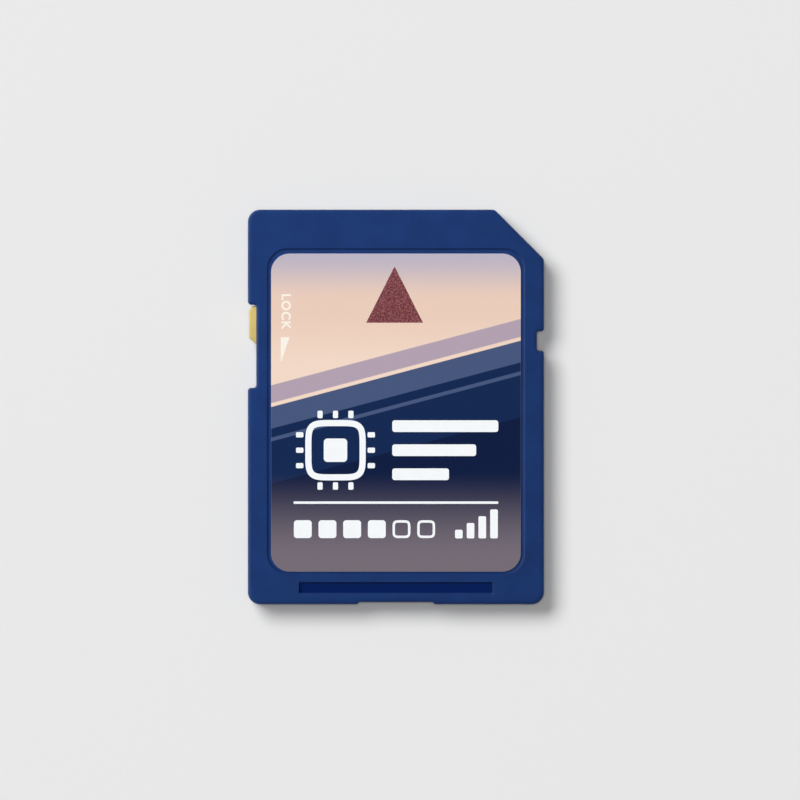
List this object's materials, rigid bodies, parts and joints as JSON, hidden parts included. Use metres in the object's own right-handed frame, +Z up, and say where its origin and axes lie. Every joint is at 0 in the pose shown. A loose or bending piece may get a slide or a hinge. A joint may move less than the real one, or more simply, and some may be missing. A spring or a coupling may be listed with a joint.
{
  "type": "memory card",
  "caption": "Full-size flash memory card with a cut corner, gold contacts behind windows in its back, a label recess and a sliding write-lock tab in its left edge.",
  "frame": {"origin": "middle of the back face, which lies on the table", "axes": "+X across the card to the cut corner's side, +Y towards the nose that enters a slot first, +Z up out of the label face"},
  "size_m": [0.024, 0.032, 0.0021],
  "materials": {
    "shell": "satin blue, fine mould texture",
    "slider": "satin yellow",
    "label_film": "printed film, satin",
    "board": "solder mask",
    "contact_gold": "gold plated",
    "chip_body": "moulded resin",
    "lead_metal": "tin plated",
    "capacitor_ceramic": "fired ceramic",
    "resistor_ceramic": "fired ceramic"
  },
  "bodies": {
    "card": {"front_shell": "shell", "back_shell": "shell", "label": "label_film", "circuit_board": "board", "memory_chip": "chip_body", "memory_chip_leads": "lead_metal", "controller_chip": "chip_body", "controller_chip_lands": "lead_metal", "contact_1": "contact_gold", "contact_2": "contact_gold", "contact_3": "contact_gold", "contact_4": "contact_gold", "contact_5": "contact_gold", "contact_6": "contact_gold", "contact_7": "contact_gold", "contact_8": "contact_gold", "contact_9": "contact_gold", "capacitor_1": "capacitor_ceramic", "capacitor_2": "capacitor_ceramic", "capacitor_3": "capacitor_ceramic", "capacitor_4": "capacitor_ceramic", "resistor_1": "resistor_ceramic", "resistor_2": "resistor_ceramic", "resistor_3": "resistor_ceramic", "resistor_4": "resistor_ceramic", "resistor_5": "resistor_ceramic", "resistor_6": "resistor_ceramic"},
    "lock_slider": {"lock_slider": "slider"}
  },
  "joints": [
    {"name": "lock_slide", "type": "slide", "parent": "card", "child": "lock_slider", "axis": [0, -1, 0], "range_m": [0, 0.00338]}
  ]
}
